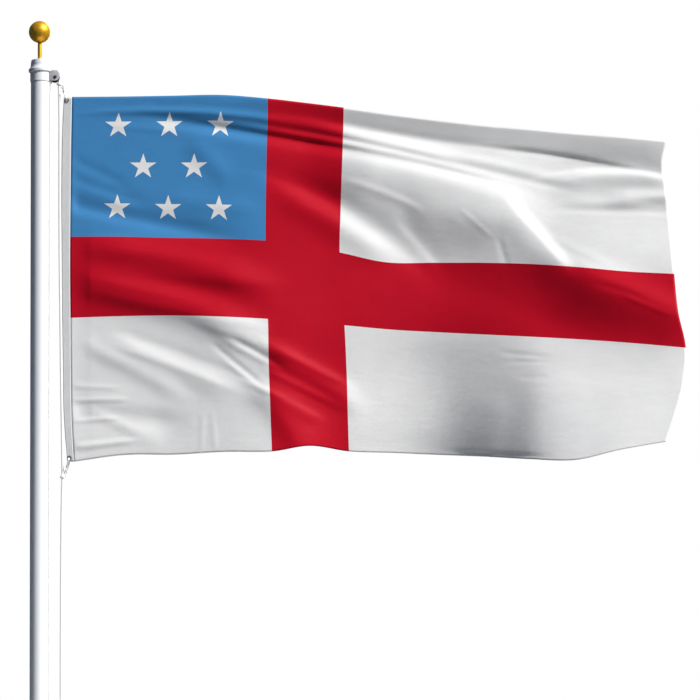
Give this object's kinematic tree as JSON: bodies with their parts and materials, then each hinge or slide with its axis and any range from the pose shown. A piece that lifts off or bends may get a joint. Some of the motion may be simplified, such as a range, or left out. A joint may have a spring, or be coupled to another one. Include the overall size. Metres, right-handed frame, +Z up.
{
  "type": "church flag on a flagpole",
  "caption": "Church flag with a blue canton and a red cross on white, flying from a white flagpole with a gilt ball, a pulley, a halyard and a cleat.",
  "frame": {"origin": "centre of the pole's foot, on the pole's axis", "axes": "+Z up the pole, +X from the pole towards the flag's fly edge, -Y out of the flag's face"},
  "size_m": [1.6245, 0.188, 2.9861],
  "materials": {
    "white_paint": "satin white paint",
    "bare_aluminium": "cast, lightly brushed",
    "gilt": "polished gold anodising",
    "grey_metal": "dull zinc",
    "black_nylon": "moulded black nylon",
    "plated_steel": "nickel plated",
    "rope": "braided white rope",
    "canvas": "doubled white canvas",
    "printed_cloth": "woven white cloth with a red cross and a blue canton"
  },
  "bodies": {
    "root": {"pole_foot": "bare_aluminium", "pole_tube": "white_paint", "truck_cap": "white_paint", "finial_stem": "gilt", "finial_ball": "gilt", "pulley_bracket": "grey_metal", "pulley_sheave": "black_nylon", "pulley_pin": "grey_metal", "cleat": "bare_aluminium", "cleat_screw_top": "grey_metal", "cleat_screw_bottom": "grey_metal", "halyard": "rope", "top_knot": "rope", "lower_knot": "rope", "top_grommet": "plated_steel", "lower_grommet": "plated_steel", "top_snap_hook": "plated_steel", "lower_snap_hook": "plated_steel", "heading": "canvas", "flag_cloth": "printed_cloth"}
  },
  "joints": []
}
